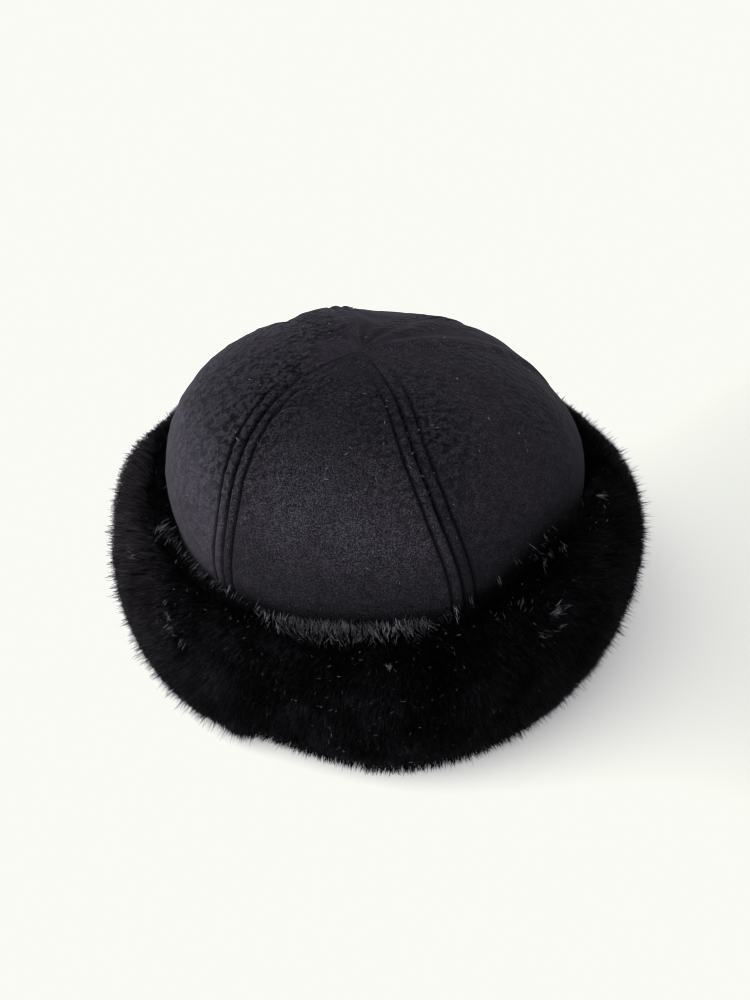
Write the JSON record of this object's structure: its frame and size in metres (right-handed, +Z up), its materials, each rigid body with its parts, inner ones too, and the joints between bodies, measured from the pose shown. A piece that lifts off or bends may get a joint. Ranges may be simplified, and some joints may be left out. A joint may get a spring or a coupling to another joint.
{
  "type": "fur hat",
  "caption": "Soft round cloth crown of sewn gores inside a deep fur cuff turned up all round, worn on the head for warmth.",
  "frame": {"origin": "on the floor under the middle of the hat, where its cuff rests", "axes": "+Z up through the crown, +Y to the back of the hat, +X to the right as the picture sees it"},
  "size_m": [0.2638, 0.2573, 0.1452],
  "materials": {
    "crown_cloth": "soft black wool cloth with a fine pale fleck, matt",
    "cuff_fur": "short dense black fur with a soft gloss"
  },
  "bodies": {
    "root": {"crown_gore_front": "crown_cloth", "crown_gore_front_right": "crown_cloth", "crown_gore_back_right": "crown_cloth", "crown_gore_back": "crown_cloth", "crown_gore_back_left": "crown_cloth", "crown_gore_front_left": "crown_cloth", "fur_cuff": "cuff_fur"}
  },
  "joints": []
}
